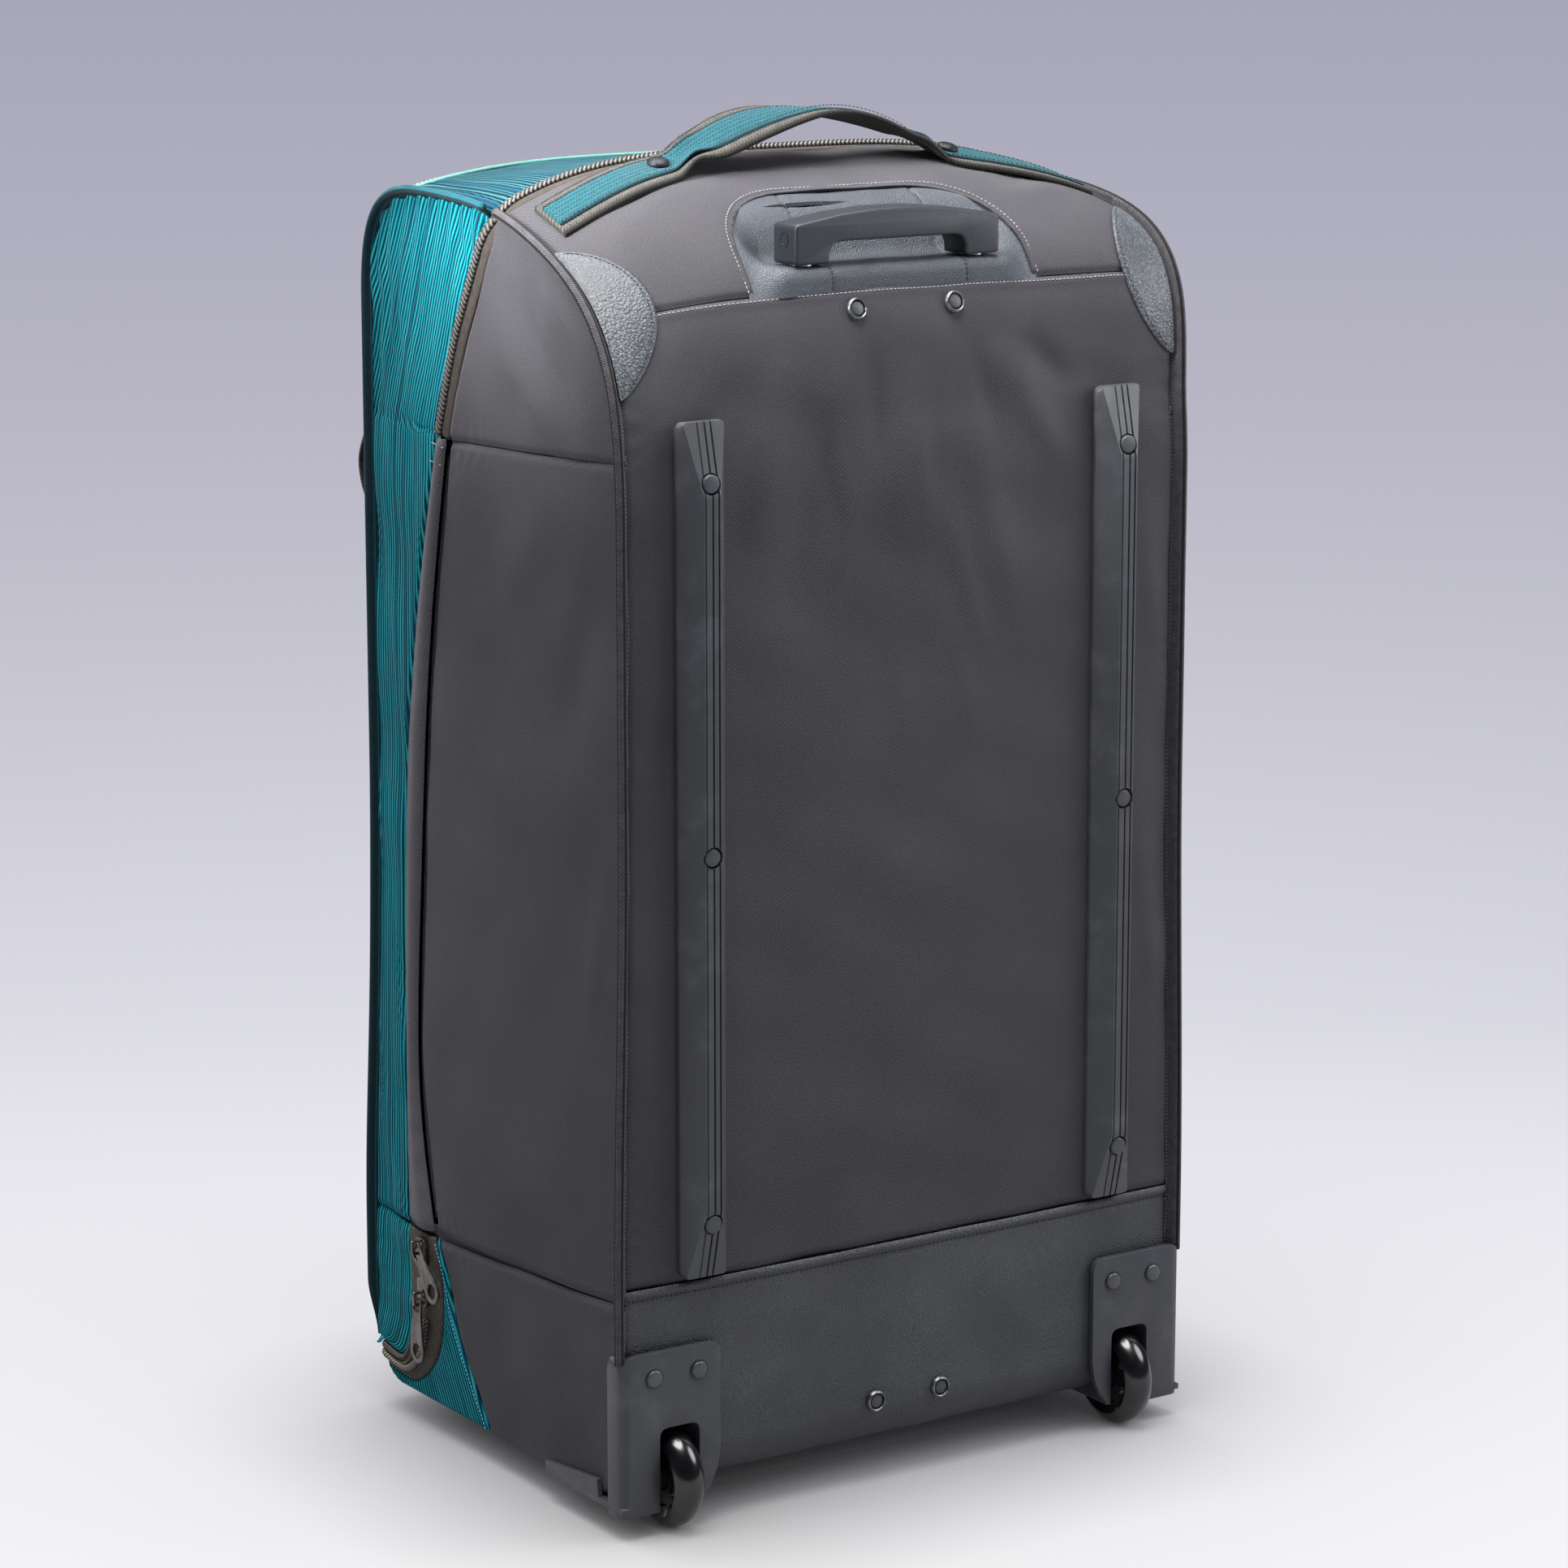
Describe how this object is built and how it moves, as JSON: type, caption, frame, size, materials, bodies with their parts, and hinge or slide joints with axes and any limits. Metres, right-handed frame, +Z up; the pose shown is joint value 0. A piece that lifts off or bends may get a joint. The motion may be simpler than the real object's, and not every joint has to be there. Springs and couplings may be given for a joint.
{
  "type": "wheeled travel bag",
  "caption": "Tall soft travel bag on wheels: grey cloth body with a zipped teal lid, moulded back rails and corner wheel brackets, pull-out trolley grip and webbing handles.",
  "frame": {"origin": "on the floor under the middle of the bag", "axes": "+Z up, +Y from the railed back towards the teal lid, +X to the right as seen from the back"},
  "size_m": [0.4459, 0.3634, 0.8654],
  "materials": {
    "grey_cloth": "dark warm grey twill",
    "teal_cloth": "heathered teal rib cloth",
    "coated_cloth": "grained dark blue grey coating",
    "grey_piping": "grey cloth piping",
    "teal_piping": "dark teal cloth piping",
    "zip_tape": "taupe woven tape",
    "zip_teeth": "dark coil",
    "mint_tape": "pale mint tape",
    "grey_webbing": "olive grey webbing",
    "teal_webbing": "bright teal webbing",
    "gunmetal": "dark plated metal",
    "moulded": "fine textured dark grey",
    "tyre": "glossy blue black",
    "steel": "satin",
    "alloy": "satin anodised"
  },
  "bodies": {
    "bag": {"axle_left": "steel", "axle_right": "steel", "back_panel": "grey_cloth", "back_piping_left": "grey_piping", "back_piping_right": "grey_piping", "base_strip": "coated_cloth", "base_wedge_left": "teal_cloth", "base_wedge_right": "teal_cloth", "bottom_panel": "grey_cloth", "carry_handle": "grey_webbing", "carry_stripe": "teal_webbing", "corner_patch_left": "coated_cloth", "corner_patch_right": "coated_cloth", "foot_left": "moulded", "foot_right": "moulded", "front_panel": "teal_cloth", "grab_strap_left": "grey_webbing", "grab_strap_right": "grey_webbing", "handle_rivet_left": "steel", "handle_rivet_right": "steel", "lid_corner_left": "teal_cloth", "lid_corner_right": "teal_cloth", "lid_piping_left": "teal_piping", "lid_piping_right": "teal_piping", "lid_pocket_zip": "mint_tape", "lid_side_left": "teal_cloth", "lid_side_right": "teal_cloth", "lid_top": "teal_cloth", "low_zip_chain": "zip_teeth", "low_zip_tape": "zip_tape", "main_zip_chain": "zip_teeth", "main_zip_tape": "zip_tape", "rail_left": "moulded", "rail_right": "moulded", "side_lower_left": "grey_cloth", "side_lower_right": "grey_cloth", "side_middle_left": "grey_cloth", "side_middle_right": "grey_cloth", "side_upper_left": "grey_cloth", "side_upper_right": "grey_cloth", "slider_lower": "gunmetal", "slider_upper": "gunmetal", "top_panel": "grey_cloth", "trolley_guide": "alloy", "trolley_pocket": "coated_cloth", "trolley_rivet_low_left": "steel", "trolley_rivet_low_right": "steel", "trolley_rivet_top_left": "steel", "trolley_rivet_top_right": "steel", "wheel_bracket_left": "moulded", "wheel_bracket_right": "moulded", "zip_flap_left": "grey_cloth", "zip_flap_right": "grey_cloth"},
    "trolley": {"trolley_grip": "moulded", "trolley_tube_left": "alloy", "trolley_tube_right": "alloy"},
    "wheel_left": {"wheel_left": "tyre"},
    "wheel_right": {"wheel_right": "tyre"},
    "pull_tab_upper": {"pull_tab_upper": "gunmetal"},
    "pull_tab_lower": {"pull_tab_lower": "gunmetal"}
  },
  "joints": [
    {"name": "trolley_slide", "type": "slide", "parent": "bag", "child": "trolley", "axis": [0, 0, 1], "range_m": [0, 0.4]},
    {"name": "wheel_left_spin", "type": "hinge", "parent": "bag", "child": "wheel_left", "pos_m": [-0.175, -0.14918, 0.0325], "axis": [1, 0, 0], "continuous": true},
    {"name": "wheel_right_spin", "type": "hinge", "parent": "bag", "child": "wheel_right", "pos_m": [0.175, -0.14918, 0.0325], "axis": [1, 0, 0], "continuous": true},
    {"name": "pull_tab_upper_swing", "type": "hinge", "parent": "bag", "child": "pull_tab_upper", "pos_m": [-0.22309, 0.08182, 0.128], "axis": [0, 0.7431, -0.6691], "range_deg": [0, 140]},
    {"name": "pull_tab_lower_swing", "type": "hinge", "parent": "bag", "child": "pull_tab_lower", "pos_m": [-0.22236, 0.08182, 0.093], "axis": [0, 1, 0], "range_deg": [0, 140]}
  ]
}
